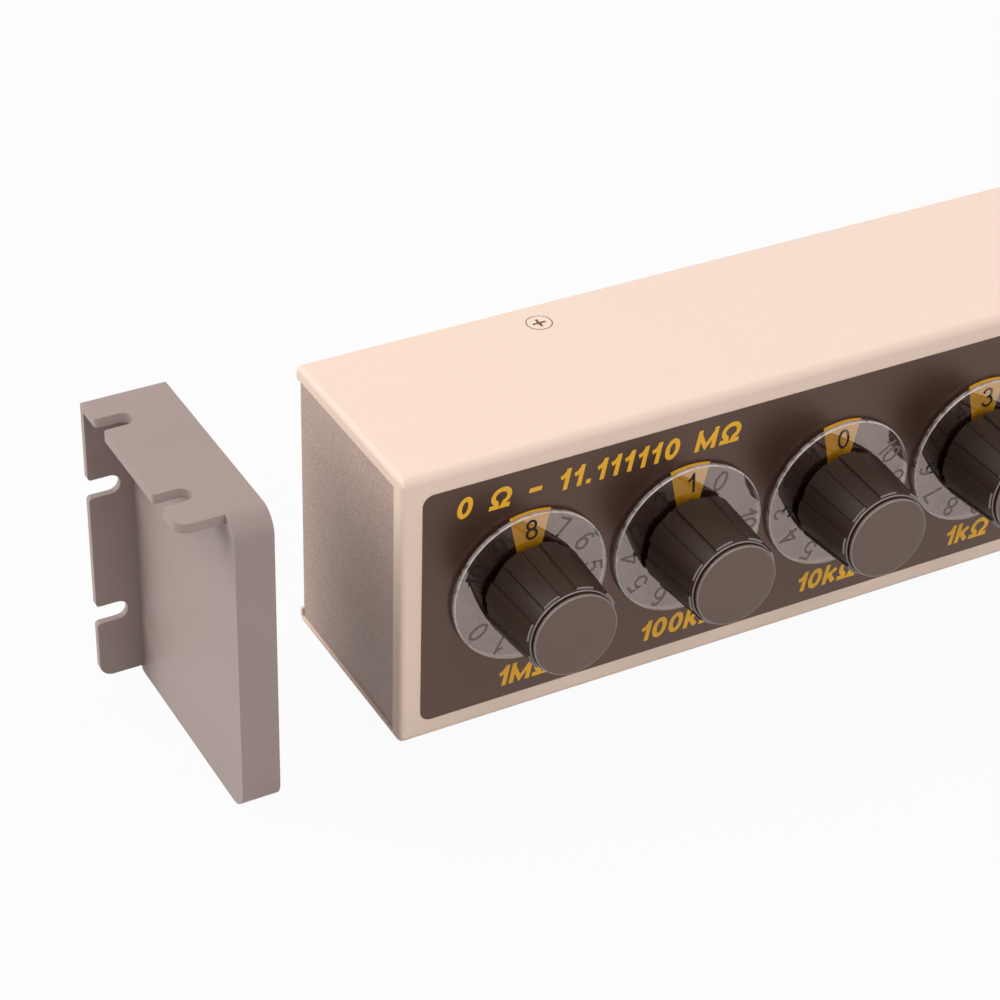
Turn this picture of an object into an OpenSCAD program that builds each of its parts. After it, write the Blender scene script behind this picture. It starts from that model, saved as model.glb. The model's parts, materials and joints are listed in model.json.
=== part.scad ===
// Decade resistance box: a long bench case with a row of switched decades behind figure dials,
// two binding posts, and a pair of push-on end caps whose slotted ears screw to a wall or a shelf.
// Millimetres. The origin is under the middle of everything, on the surface that the box stands on.
// X runs along the case, Y from the front to the back and Z up.

/* [Case] */
// Depth of the case from front to back
case_d = 50; // [44:0.5:70]
// Height of the case without its feet
case_h = 66.5; // [58:0.5:90]
// Sheet thickness of the front shell
shell_wall = 1.6; // [1:0.1:2]
// Outside radius of the four long edges of the shell
shell_r = 2; // [1.9:0.1:5]
// How far the rear lips reach in from the top and the bottom
lip_h = 3.6; // [3:0.1:8]
// Width of the rim turned in at each end of the front
rim_front = 4; // [3:0.25:8]
// Width of the rim turned in at each end of the top
rim_top = 3.4; // [3:0.1:8]
// Thickness of the turned-in rims
rim_t = 1.2; // [0.8:0.1:2]
// Sheet thickness of the rear chassis
chassis_t = 1.2; // [0.8:0.1:2]
// Depth of the chassis ends below the shell's end rims
end_recess = 0.5; // [0.2:0.1:1]
// Width of the chassis flanges that the case screws pull on
flange_w = 13; // [11:0.5:18]
// Clearance between the shell and the chassis
case_fit = 0.15; // [0.1:0.05:0.3]

/* [Row of decades] */
// Distance from the left end of the case to the first dial's centre
first_x = 29.2; // [24:0.2:50]
// Clear gap between two dials
dial_gap = 2.25; // [0.8:0.05:12]
// Height of the dial centres above the middle of the case
dial_rise = -0.15; // [-2:0.05:3]
// Figures that the dials show at rest, from the left, each 0 to 10
settings = [8, 1, 0, 3, 0, 5, 2]; // [0:1:10]

/* [Dials and knobs] */
// Radius of a figure dial
dial_r = 18; // [16:0.05:24]
// Thickness of a figure dial
dial_t = 1.2; // [1:0.1:3]
// Chamfer along both edges of a figure dial
dial_edge = 0.25; // [0.1:0.05:0.4]
// Gap between the label and the back of a dial
dial_lift = 0.45; // [0.4:0.05:1.5]
// Radius of a knob's barrel where it meets its dial
knob_base_r = 10.3; // [10:0.1:14]
// Radius of a knob's barrel at its front
knob_front_r = 9.7; // [9.4:0.05:12]
// Length of a knob from its dial to its front rim
knob_l = 17.5; // [15:0.05:26]
// Number of grip ribs round a knob
ribs = 8; // [6:1:10]
// Angle that a rib takes up
rib_angle = 22.5; // [14:0.5:28]
// Height of a rib above the barrel
rib_h = 0.45; // [0.3:0.05:0.8]
// Plain band between the ribs and the front rim
knob_band = 0.6; // [0.4:0.1:4]
// Radius of a knob cap
cap_disc_r = 9.6; // [8.5:0.1:11]
// Thickness of a knob cap in front of its groove
cap_disc_t = 0.8; // [0.6:0.1:2]
// Width of the groove between a knob and its cap
cap_groove = 0.4; // [0.3:0.1:1]

/* [Switches] */
// Radius of a switch shaft
shaft_r = 3; // [2.5:0.1:3.2]
// Running clearance round a shaft
shaft_fit = 0.06; // [0.03:0.01:0.1]
// Radius of a switch bush
bush_r = 5; // [4.6:0.1:5.5]
// Radius of a switch body
switch_r = 12.4; // [11:0.1:15]
// Depth of a switch body behind the panel
switch_d = 14; // [11:0.5:18]
// Radius of the circle of switch pins
pin_circle_r = 9.6; // [8:0.1:10]
// Radius of a switch pin
pin_r = 0.45; // [0.35:0.05:0.6]
// Width across the flats of a switch nut
nut_af = 14; // [12.5:0.1:14.4]
// Thickness of a switch nut
nut_t = 2.2; // [1.5:0.1:2.6]
// Radius of a switch washer
washer_r = 8; // [7:0.1:8.3]
// Thickness of a switch washer
washer_t = 0.6; // [0.4:0.1:0.8]

/* [Label] */
// Margin between the label and the left and right ends of the case
label_side = 4.6; // [3:0.1:10]
// Margin between the label and the top and bottom of the case
label_edge = 4.9; // [3.5:0.1:9]
// Corner radius of the label
label_r = 2.5; // [1:0.1:5]
// Thickness of the label
label_t = 0.2; // [0.1:0.05:0.3]

/* [Circuit board] */
// Margin above and below the board
board_margin = 8; // [6:0.5:14]
// Overhang of the board beyond the first dial's centre
board_overhang = 17; // [15:0.5:20]
// Thickness of the board
board_t = 1.6; // [1:0.1:2.4]
// Radius of a resistor
resistor_r = 1.25; // [0.9:0.05:1.6]
// Length of a resistor's body
resistor_l = 6.3; // [4.5:0.1:6.8]
// Distance between two resistors in a row
resistor_pitch = 5.5; // [4:0.1:6.4]

/* [Terminals] */
// Distance from the last dial's centre to the terminals
terminal_x = 33; // [27:0.5:60]
// Distance from the terminals to the right end of the case
terminal_side = 20.6; // [18:0.2:50]
// Distance between the two terminals
terminal_gap = 19; // [17:0.5:26]
// Radius of the plug socket in a terminal
socket_r = 2.03; // [2:0.01:2.1]
// Depth of the plug socket
socket_d = 15; // [12:0.5:18]
// Radius of a terminal post
post_r = 3; // [2.8:0.1:3.4]
// Radius of a terminal's insulating base
base_r = 7; // [6:0.1:8]
// Height of the insulating base
base_h = 4; // [3:0.1:6]
// Radius of a thumb nut
thumb_r = 6.5; // [5.6:0.1:7.5]
// Length of a thumb nut
thumb_l = 12.4; // [10:0.1:16]
// Number of grip grooves round a thumb nut
thumb_grips = 18; // [12:1:24]

/* [Case screws and feet] */
// Distance of the case screws from the ends of the case
screw_x = 54; // [30:1:80]
// Distance of the case screws from the back of the case
screw_y = 8.1; // [7.5:0.1:9]
// Radius of a screw's head
screw_head_r = 3; // [2.7:0.1:3.2]
// Radius of a screw's shank
screw_r = 1.5; // [1.2:0.05:1.6]
// Length of a case screw
screw_l = 7; // [6:0.5:10]
// Radius of a foot
foot_r = 6; // [4:0.5:9]
// Distance of the feet from the ends of the case
foot_x = 26; // [18:1:60]
// Distance of the feet from the front and the back of the case
foot_y = 12; // [9:0.5:18]

/* [End caps] */
// Distance at which the left end cap stands from the case
cap_apart = 28.5; // [12:0.5:60]
// Wall of an end cap at the top and the bottom
cap_wall_h = 2.2; // [1.6:0.1:4]
// Wall of an end cap at the front and the back
cap_wall_d = 1.6; // [1.2:0.1:3]
// Thickness of an end cap's plate
cap_plate = 2; // [1.2:0.1:3]
// Width of an end cap's skirt with its plate
cap_skirt = 8.4; // [6.5:0.1:14]
// Clearance between an end cap and the label or the end of the case
cap_clear = 0.3; // [0.3:0.05:0.6]
// Outside radius of an end cap's front corners
cap_front_r = 5; // [3:0.1:7]
// Outside radius of an end cap's rear corners
cap_rear_r = 1.6; // [0.8:0.1:3]
// Length of the mounting ears beyond the plate
ear_l = 9.9; // [8.5:0.1:16]
// Distance of the upper ear from the front of its cap
ear_front = 4.1; // [3.5:0.1:8]
// Distance of the rear ear from the bottom of its cap
ear_bottom = 2; // [1:0.1:6]
// Radius of an ear's free corner
ear_r = 3; // [1.5:0.1:4]
// Width of a mounting slot
slot_w = 4.5; // [4.4:0.1:5.2]
// Distance of a slot's round end from the plate
slot_end = 2.8; // [2:0.1:4]
// Radius at the mouth of a slot
slot_mouth_r = 0.8; // [0.4:0.1:1.2]
// Distance of the upper ear's rear slot from the back of its cap
slot_rear = 10.4; // [9:0.1:14]
// Distance of the upper ear's front slot from the front of its cap
slot_front = 13.8; // [12.5:0.1:18]
// Distance of the rear ear's upper slot from the top of its cap
slot_top = 21.2; // [12:0.1:24]
// Distance of the rear ear's lower slot from the bottom of its cap
slot_bottom = 18.4; // [12:0.1:22]

/* [Hidden] */
$fn = 64;
decades = len(settings);
resistors_per_row = 5;
pins_per_switch = 12;
step_angle = 360 / pins_per_switch;
slack = 1;
min_r = 0.2;
cap_fit = label_t + cap_clear;
foot_h = cap_wall_h + cap_fit;
case_z = foot_h;
case_top = case_z + case_h;
dial_pitch = 2 * dial_r + dial_gap;
dial_z = case_z + case_h / 2 + dial_rise;
last_x = first_x + (decades - 1) * dial_pitch;
post_x = last_x + terminal_x;
case_l = post_x + terminal_side;
post_zs = [dial_z + terminal_gap / 2, dial_z - terminal_gap / 2];
dial_back = label_t + dial_lift;
dial_front = dial_back + dial_t;
knob_front = dial_front + knob_l;
cap_disc_front = knob_front + cap_groove + cap_disc_t;
spigot_step = 1.6;
spigot_l = 2;
neck_step = 0.4;
spigot_r = cap_disc_r - spigot_step;
neck_r = cap_disc_r - neck_step;
knob_web = 1.2;
shaft_top = knob_front - spigot_l - knob_web;
nut_corner_r = nut_af / 2 / cos(30);
nut_gap = 0.65;
nut_clear_r = max(nut_corner_r, washer_r) + nut_gap;
nut_top = washer_t + nut_t;
bush_stand = 1.2;
bush_gap = 1.2;
bush_top = nut_top + bush_stand;
nut_recess = bush_top + bush_gap;
bush_hole_r = bush_r + shaft_fit;
label_gap = 0.4;
label_hole_r = washer_r + label_gap;
switch_floor = 3;
shaft_depth = switch_d - switch_floor;
board_y = shell_wall + switch_d;
board_rear = board_y + board_t;
pin_stand = 1.8;
pin_top = board_t + pin_stand;
resistor_gap = 3.6;
resistor_stand = 0.4;
resistor_row = pin_circle_r + resistor_gap + resistor_l / 2;
resistor_lift = resistor_r + resistor_stand;
lead_r = 0.3;
lead_reach = 1.2;
shoulder_wall = 1.1;
shoulder_r = post_r + shoulder_wall;
shoulder_hole_r = shoulder_r + case_fit;
collar_w = 1.8;
collar_t = 1;
collar_r = post_r + collar_w;
post_fit = 0.08;
thumb_gap = 0.4;
post_stand = 0.6;
collar_top = label_t + base_h + collar_t;
thumb_back = collar_top + thumb_gap;
thumb_front = thumb_back + thumb_l;
post_front = thumb_front + post_stand;
rear_washer_t = 1.5;
tag_t = 0.8;
tag_reach = 6;
tag_l = post_r + tag_reach;
tag_z = -shell_wall - rear_washer_t - tag_t;
post_nut_t = 3;
post_nut_w = 3.9;
post_tail = 2;
post_nut_af = post_r + post_nut_w + post_r;
post_nut_z = tag_z - post_nut_t;
post_back = post_nut_z - post_tail;
wire_r = 0.9;
wire_stand = 0.5;
head_t = screw_head_r - screw_r;
press_nut_t = 2.6;
press_nut_wall = 1.6;
press_nut_r = screw_r + press_nut_wall;
rim_gap = 0.3;
chassis_gap = shell_wall + case_fit;
end_y0 = rim_front + case_fit;
end_y1 = case_d - chassis_gap;
end_z1 = case_h - rim_top - case_fit;
channel_x = max(end_recess, rim_t + rim_gap);
cap_d = case_d + 2 * (cap_fit + cap_wall_d);
cap_h = case_h + 2 * (cap_fit + cap_wall_h);
cap_y = -cap_fit - cap_wall_d;
cap_x_left = -cap_apart - cap_skirt;
cap_x_right = case_l + cap_clear + cap_plate;
x_min = cap_x_left - ear_l;
x_max = cap_x_right + ear_l;
y_min = -cap_disc_front;
y_max = cap_y + cap_d;
frame_shift = [-(x_min + x_max) / 2, -(y_min + y_max) / 2, 0];
shell_colour = "#E4D2C0";
grey_colour = "#77706C";
cap_colour = "#9A928E";
steel_colour = "#C8C8C8";
black_colour = "#1E1B1A";
red_colour = "#B3201C";
brass_colour = "#C9A44C";

// Where the i-th dial stands along the case
function dial_x(i) = first_x + (i - 1) * dial_pitch;

// Anticlockwise turn, seen from the front, that brings a dial's set figure to the top
function dial_turn(i) = -settings[i - 1] * step_angle;

// Moves a piece from the case's front lower left corner into the model's frame
module in_frame() {
    translate(frame_shift)
        children();
}

// Stands a piece on the front of the case: its own Z points forward and its own Y points up
module on_front(x, z) {
    translate([x, 0, z])
        rotate([90, 0, 0])
            children();
}

// Draws a Y-Z section along the case
module along_x(x, length) {
    translate([x, 0, 0])
        rotate([90, 0, 90])
            linear_extrude(length)
                children();
}

// A ring or disc round its own Z axis
module ring(r, inner_r, z0, z1) {
    translate([0, 0, z0])
        difference() {
            cylinder(r = r, h = z1 - z0);
            translate([0, 0, -slack])
                cylinder(r = inner_r, h = z1 - z0 + 2 * slack);
        }
}

// A hexagon nut round its own Z axis
module hex_nut(across, inner_r, z0, thickness) {
    translate([0, 0, z0])
        difference() {
            cylinder(r = across / 2 / cos(30), h = thickness, $fn = 6);
            translate([0, 0, -slack])
                cylinder(r = inner_r, h = thickness + 2 * slack);
        }
}

// A rectangle whose left corners have one radius and whose right corners another
module round_rect(x0, x1, y0, y1, left_r, right_r) {
    translate([x0 + left_r, y0])
        square([x1 - x0 - left_r - right_r, y1 - y0]);
    translate([x0, y0 + left_r])
        square([left_r, y1 - y0 - 2 * left_r]);
    translate([x1 - right_r, y0 + right_r])
        square([right_r, y1 - y0 - 2 * right_r]);
    for (y = [y0 + left_r, y1 - left_r])
        translate([x0 + left_r, y])
            circle(left_r);
    for (y = [y0 + right_r, y1 - right_r])
        translate([x1 - right_r, y])
            circle(right_r);
}

// The shell's Y-Z outline, drawn in by a distance on every side
module case_outline(inset) {
    r = max(shell_r - inset, min_r);
    round_rect(inset, case_d - inset, case_z + inset, case_top - inset, r, r);
}

// The chassis's Y-Z outline, drawn in by a distance: it lies on the shell's top and bottom
module chassis_outline(inset) {
    gap = chassis_gap + inset;
    lift = shell_wall + inset;
    r = max(shell_r - lift + case_fit, min_r);
    round_rect(gap, case_d - gap, case_z + lift, case_top - lift, r, r);
}

// Hole for a case screw through the sheet, with the seat for its head
module screw_hole(depth) {
    translate([0, 0, -slack])
        cylinder(r = screw_r + case_fit, h = depth + slack);
    cylinder(r1 = screw_head_r, r2 = screw_r, h = head_t);
}

// Places a piece at each case screw: on the top pointing down, and on the bottom pointing up
module at_screws() {
    for (x = [screw_x, case_l - screw_x]) {
        translate([x, case_d - screw_y, case_top])
            rotate([180, 0, 0])
                children();
        translate([x, case_d - screw_y, case_z])
            children();
    }
}

// Front, top and bottom of the case, with rear lips and turned-in end rims
module front_shell() {
    in_frame() color(shell_colour) difference() {
        union() {
            along_x(0, case_l) difference() {
                case_outline(0);
                case_outline(shell_wall);
                translate([case_d - shell_wall - slack, case_z + lip_h])
                    square([shell_wall + 2 * slack, case_h - 2 * lip_h]);
            }
            for (x = [0, case_l - rim_t])
                along_x(x, rim_t) intersection() {
                    case_outline(0);
                    union() {
                        translate([0, case_z])
                            square([rim_front, case_h]);
                        translate([0, case_top - rim_top])
                            square([case_d, rim_top]);
                    }
                }
        }
        for (i = [1:decades])
            on_front(dial_x(i), dial_z)
                translate([0, 0, -shell_wall - slack])
                    cylinder(r = bush_hole_r, h = shell_wall + 2 * slack);
        for (z = post_zs)
            on_front(post_x, z)
                translate([0, 0, -shell_wall - slack])
                    cylinder(r = shoulder_hole_r, h = shell_wall + 2 * slack);
        at_screws()
            screw_hole(shell_wall + slack);
    }
}

// Back and both ends of the case, folded from one sheet, with flanges for the case screws
module rear_chassis() {
    in_frame() color(grey_colour) difference() {
        union() {
            along_x(channel_x, case_l - 2 * channel_x) difference() {
                chassis_outline(0);
                chassis_outline(chassis_t);
                translate([0, case_z])
                    square([case_d - chassis_gap - flange_w, case_h]);
            }
            for (x = [end_recess, case_l - end_recess - chassis_t])
                along_x(x, chassis_t) intersection() {
                    chassis_outline(0);
                    translate([end_y0, case_z])
                        square([end_y1 - end_y0, end_z1]);
                }
        }
        at_screws()
            screw_hole(shell_wall + chassis_t + slack);
    }
}

// Overlay on the front, with openings for the switches and the terminals
module front_label() {
    in_frame() color("#4A3B35") rotate([90, 0, 0]) linear_extrude(label_t) difference() {
        round_rect(label_side, case_l - label_side, case_z + label_edge, case_top - label_edge,
            label_r, label_r);
        for (i = [1:decades])
            translate([dial_x(i), dial_z])
                circle(label_hole_r);
        for (z = post_zs)
            translate([post_x, z])
                circle(shoulder_hole_r);
    }
}

// Countersunk cross-head screws
module case_screws() {
    cross_w = 0.7;
    cross_l = 3.2;
    cross_d = 0.9;
    in_frame() color(steel_colour) at_screws() difference() {
        union() {
            cylinder(r1 = screw_head_r, r2 = screw_r, h = head_t);
            cylinder(r = screw_r, h = screw_l);
        }
        for (turn = [0, 90])
            rotate([0, 0, turn])
                translate([-cross_l / 2, -cross_w / 2, -slack])
                    cube([cross_l, cross_w, cross_d + slack]);
    }
}

// Press nuts under the chassis flanges
module press_nuts() {
    seat = shell_wall + chassis_t;
    in_frame() color(steel_colour) at_screws()
        ring(press_nut_r, screw_r + shaft_fit, seat, seat + press_nut_t);
}

// Feet under the four corners
module rubber_feet() {
    taper = 0.5;
    in_frame() color("#2A2827")
        for (x = [foot_x, case_l - foot_x], y = [foot_y, case_d - foot_y])
            translate([x, y, 0])
                cylinder(r1 = foot_r - taper, r2 = foot_r, h = foot_h);
}

// Outline of a mounting slot that opens towards -X, with its round end at x = 0
module slot_outline(length) {
    circle(slot_w / 2);
    translate([-length - slack, -slot_w / 2])
        square([length + slack, slot_w]);
    for (side = [-1, 1])
        translate([-length, side * slot_w / 2])
            difference() {
                translate([-slack, side > 0 ? 0 : -slot_mouth_r])
                    square([slot_mouth_r + slack, slot_mouth_r]);
                translate([slot_mouth_r, side * slot_mouth_r])
                    circle(slot_mouth_r);
            }
}

// The ear's plan, from its free edge at x = 0 to the plate, with one round free corner at y = 0
module ear_outline(width) {
    translate([ear_r, 0])
        square([ear_l + cap_plate - ear_r, width]);
    translate([0, ear_r])
        square([ear_r, width - ear_r]);
    translate([ear_r, ear_r])
        circle(ear_r);
}

// An end cap for the left end. The plate's outer face is at x = 0 and the skirt points to +X
module end_cap() {
    slot_length = ear_l - slot_end - slot_w / 2;
    slot_x = -slot_end - slot_w / 2;
    cavity_y = cap_y + cap_wall_d;
    cavity_z = cap_wall_h;
    cavity_r = shell_r + cap_fit;
    top_width = cap_d - ear_front;
    rear_width = cap_h - ear_bottom;
    color(cap_colour) difference() {
        union() {
            along_x(0, cap_skirt)
                round_rect(cap_y, cap_y + cap_d, 0, cap_h, cap_front_r, cap_rear_r);
            intersection() {
                along_x(-ear_l, ear_l + cap_plate)
                    round_rect(cap_y, cap_y + cap_d, 0, cap_h, cap_front_r, cap_rear_r);
                union() {
                    translate([-ear_l, cap_y + ear_front, cap_h - cap_wall_h])
                        linear_extrude(cap_wall_h + slack)
                            ear_outline(top_width);
                    translate([-ear_l, cap_y + cap_d + slack, ear_bottom])
                        rotate([90, 0, 0])
                            linear_extrude(cap_wall_d + slack)
                                ear_outline(rear_width);
                }
            }
        }
        along_x(cap_plate, cap_skirt)
            round_rect(cavity_y, cavity_y + case_d + 2 * cap_fit, cavity_z,
                cavity_z + case_h + 2 * cap_fit, cavity_r, cavity_r);
        for (y = [cap_y + slot_front, cap_y + cap_d - slot_rear])
            translate([slot_x, y, cap_h - cap_wall_h - slack])
                linear_extrude(cap_wall_h + 2 * slack)
                    slot_outline(slot_length);
        for (z = [slot_bottom, cap_h - slot_top])
            translate([slot_x, cap_y + cap_d + slack, z])
                rotate([90, 0, 0])
                    linear_extrude(cap_wall_d + 2 * slack)
                        slot_outline(slot_length);
    }
}

// The end cap that stands off the left end
module left_end_cap() {
    in_frame() translate([cap_x_left, 0, 0])
        end_cap();
}

// The end cap fitted on the right end
module right_end_cap() {
    in_frame() translate([cap_x_right, 0, 0])
        mirror([1, 0, 0])
            end_cap();
}

// Board on the switch pins
module circuit_board() {
    hole_r = pin_r + case_fit;
    board_x = first_x - board_overhang;
    in_frame() color("#2E6B3A") translate([0, board_rear, 0]) rotate([90, 0, 0])
        linear_extrude(board_t) difference() {
            translate([board_x, case_z + board_margin])
                square([post_x - board_x, case_h - 2 * board_margin]);
            for (i = [1:decades])
                translate([dial_x(i), dial_z])
                    pin_places()
                        circle(hole_r, $fn = 24);
        }
}

// Places a piece at each switch pin: one in the middle and the rest on a circle
module pin_places() {
    children();
    for (k = [0:pins_per_switch - 1])
        rotate(k * 360 / pins_per_switch)
            translate([pin_circle_r, 0])
                children();
}

// One axial resistor lying along its own Y over the board, with its leads bent down to the board
module resistor() {
    waist_ratio = 0.82;
    bulge_ratio = 0.28;
    waist_r = resistor_r * waist_ratio;
    bulge_l = resistor_l * bulge_ratio;
    lead_y = resistor_l / 2 + lead_reach;
    translate([0, 0, resistor_lift])
        rotate([90, 0, 0]) {
            cylinder(r = waist_r, h = resistor_l - bulge_l, center = true, $fn = 24);
            for (side = [-1, 1])
                translate([0, 0, side * (resistor_l - bulge_l) / 2])
                    cylinder(r = resistor_r, h = bulge_l, center = true, $fn = 24);
            cylinder(r = lead_r, h = 2 * lead_y, center = true, $fn = 16);
        }
    for (side = [-1, 1])
        translate([0, side * (lead_y - lead_r), 0])
            cylinder(r = lead_r, h = resistor_lift, $fn = 16);
}

// Ten resistors for each decade, in a row above and a row below its switch
module resistors() {
    in_frame() color("#7FA6C9")
        for (i = [1:decades], side = [-1, 1], k = [0:resistors_per_row - 1])
            translate([dial_x(i) + (k - (resistors_per_row - 1) / 2) * resistor_pitch,
                board_rear, dial_z + side * resistor_row])
                rotate([-90, 0, 0])
                    resistor();
}

// Washers under the switch nuts
module switch_washers() {
    in_frame() color(steel_colour)
        for (i = [1:decades])
            on_front(dial_x(i), dial_z)
                ring(washer_r, bush_hole_r, 0, washer_t);
}

// Hexagon nuts that hold the switches to the front
module switch_nuts() {
    in_frame() color(steel_colour)
        for (i = [1:decades])
            on_front(dial_x(i), dial_z)
                hex_nut(nut_af, bush_r + shaft_fit, washer_t, nut_t);
}

// Ribbed knob, hollow underneath for the nut and at the front for its cap
module knob(i) {
    chamfer = 0.35;
    root = 0.6;
    rib_top = knob_front - knob_band;
    barrel_r = knob_base_r - (knob_base_r - knob_front_r) * (rib_top - dial_front) / knob_l;
    in_frame() color(black_colour) on_front(dial_x(i), dial_z) rotate([0, 0, dial_turn(i)]) {
        rotate_extrude()
            polygon([
                [nut_clear_r, dial_front],
                [knob_base_r, dial_front],
                [knob_front_r, knob_front - chamfer],
                [knob_front_r - chamfer, knob_front],
                [spigot_r + shaft_fit, knob_front],
                [spigot_r + shaft_fit, knob_front - spigot_l],
                [0, knob_front - spigot_l],
                [0, shaft_top],
                [shaft_r + shaft_fit, shaft_top],
                [shaft_r + shaft_fit, nut_recess],
                [nut_clear_r, nut_recess]
            ]);
        for (k = [0:ribs - 1])
            rotate([0, 0, 90 + k * 360 / ribs - rib_angle / 2])
                rotate_extrude(angle = rib_angle)
                    polygon([
                        [knob_base_r - root, dial_front],
                        [knob_base_r + rib_h, dial_front],
                        [barrel_r + rib_h, rib_top],
                        [barrel_r - root, rib_top]
                    ]);
    }
}

// Disc that closes the front of a knob, on a neck that leaves a groove
module knob_cap(i) {
    chamfer = 0.3;
    spigot_back = knob_front - spigot_l + case_fit;
    back = knob_front + cap_groove;
    in_frame() color("#57504C") on_front(dial_x(i), dial_z)
        rotate_extrude()
            polygon([
                [0, spigot_back],
                [spigot_r, spigot_back],
                [spigot_r, knob_front],
                [neck_r, knob_front],
                [neck_r, back],
                [cap_disc_r, back],
                [cap_disc_r, cap_disc_front - chamfer],
                [cap_disc_r - chamfer, cap_disc_front],
                [0, cap_disc_front]
            ]);
}

// Clear disc that carries the figures
module figure_dial(i) {
    in_frame() color("#C9C5C2", 0.5) on_front(dial_x(i), dial_z)
        rotate_extrude($fn = 128)
            polygon([
                [nut_clear_r, dial_back],
                [dial_r - dial_edge, dial_back],
                [dial_r, dial_back + dial_edge],
                [dial_r, dial_front - dial_edge],
                [dial_r - dial_edge, dial_front],
                [nut_clear_r, dial_front]
            ]);
}

// Shaft from inside the switch to inside the knob
module switch_shaft(i) {
    chamfer = 0.4;
    in_frame() color(steel_colour) on_front(dial_x(i), dial_z)
        rotate_extrude()
            polygon([
                [0, -shell_wall - shaft_depth],
                [shaft_r, -shell_wall - shaft_depth],
                [shaft_r, shaft_top - chamfer],
                [shaft_r - chamfer, shaft_top],
                [0, shaft_top]
            ]);
}

// Twelve-way switch: body behind the panel, bush through it and pins through the board
module switch_body(i) {
    end_gap = 0.3;
    flange_t = 2;
    flange_step = 0.6;
    back = -shell_wall - switch_d;
    bore_end = -shell_wall - shaft_depth - end_gap;
    bore_r = shaft_r + shaft_fit;
    in_frame() color("#3A3A3C") on_front(dial_x(i), dial_z) {
        rotate_extrude()
            polygon([
                [0, back],
                [switch_r, back],
                [switch_r, -shell_wall - flange_t],
                [switch_r + flange_step, -shell_wall - flange_t],
                [switch_r + flange_step, -shell_wall],
                [bush_r, -shell_wall],
                [bush_r, bush_top],
                [bore_r, bush_top],
                [bore_r, bore_end],
                [0, bore_end]
            ]);
        translate([0, 0, back - pin_top])
            pin_places()
                cylinder(r = pin_r, h = pin_top + slack, $fn = 24);
    }
}

// Knurled nut that clamps a wire on its terminal and surrounds the plug socket
module thumb_nut(z, colour) {
    groove_share = 0.42;
    groove_r = groove_share * PI * thumb_r / thumb_grips;
    band = 2;
    bevel = 0.6;
    in_frame() color(colour) on_front(post_x, z) difference() {
        rotate_extrude()
            polygon([
                [post_r + post_fit, thumb_back],
                [thumb_r, thumb_back],
                [thumb_r, thumb_front - bevel],
                [thumb_r - bevel, thumb_front],
                [post_r + post_fit, thumb_front]
            ]);
        for (k = [0:thumb_grips - 1])
            rotate([0, 0, k * 360 / thumb_grips])
                translate([thumb_r + groove_r / 2, 0, thumb_back + band])
                    cylinder(r = groove_r, h = thumb_l - 2 * band, $fn = 24);
    }
}

// Insulating base of a terminal, with a shoulder through the panel
module terminal_base(z, colour) {
    chamfer = 0.5;
    in_frame() color(colour) on_front(post_x, z)
        rotate_extrude()
            polygon([
                [post_r + post_fit, -shell_wall],
                [shoulder_r, -shell_wall],
                [shoulder_r, label_t],
                [base_r, label_t],
                [base_r, label_t + base_h - chamfer],
                [base_r - chamfer, label_t + base_h],
                [post_r + post_fit, label_t + base_h]
            ]);
}

// Posts with a plug socket in their front ends
module terminal_posts() {
    in_frame() color(brass_colour)
        for (z = post_zs)
            on_front(post_x, z)
                rotate_extrude()
                    polygon([
                        [0, post_back],
                        [post_r, post_back],
                        [post_r, label_t + base_h],
                        [collar_r, label_t + base_h],
                        [collar_r, collar_top],
                        [post_r, collar_top],
                        [post_r, post_front],
                        [socket_r, post_front],
                        [socket_r, post_front - socket_d],
                        [0, post_front - socket_d]
                    ]);
}

// Insulating washers behind the panel
module terminal_washers() {
    washer_step = 0.4;
    in_frame() color("#D8D2C4")
        for (z = post_zs)
            on_front(post_x, z)
                ring(base_r - washer_step, post_r + post_fit, -shell_wall - rear_washer_t, -shell_wall);
}

// Solder tags under the terminals' fixing nuts, with a wire hole at the end of each tail
module solder_tags() {
    tail_w = 3;
    in_frame() color(brass_colour)
        for (z = post_zs)
            on_front(post_x, z)
                translate([0, 0, tag_z])
                    linear_extrude(tag_t) difference() {
                        union() {
                            circle(collar_r);
                            translate([-tag_l, -tail_w / 2])
                                square([tag_l, tail_w]);
                            translate([-tag_l, 0])
                                circle(tail_w / 2);
                        }
                        circle(post_r + post_fit);
                        translate([-tag_l, 0])
                            circle(wire_r + shaft_fit);
                    }
}

// Fixing nuts behind the solder tags
module terminal_nuts() {
    in_frame() color(brass_colour)
        for (z = post_zs)
            on_front(post_x, z)
                hex_nut(post_nut_af, post_r + post_fit, post_nut_z, post_nut_t);
}

// Stiff wires from the solder tags to the board
module terminal_wires() {
    in_frame() color("#B8322A")
        for (z = post_zs)
            on_front(post_x - tag_l, z)
                translate([0, 0, -board_y])
                    cylinder(r = wire_r, h = board_y + tag_z + tag_t + wire_stand);
}

front_shell();
rear_chassis();
front_label();
case_screws();
press_nuts();
rubber_feet();
left_end_cap();
right_end_cap();
circuit_board();
resistors();
switch_washers();
switch_nuts();
for (i = [1:decades]) {
    knob(i);
    knob_cap(i);
    figure_dial(i);
    switch_shaft(i);
    switch_body(i);
}
thumb_nut(post_zs[0], red_colour);  // red_thumb_nut
thumb_nut(post_zs[1], black_colour);  // black_thumb_nut
terminal_base(post_zs[0], red_colour);  // red_base
terminal_base(post_zs[1], black_colour);  // black_base
terminal_posts();
terminal_washers();
solder_tags();
terminal_nuts();
terminal_wires();
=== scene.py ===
import json
import math

import bmesh
import bpy
import numpy as np
from mathutils import Matrix, Vector


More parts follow.
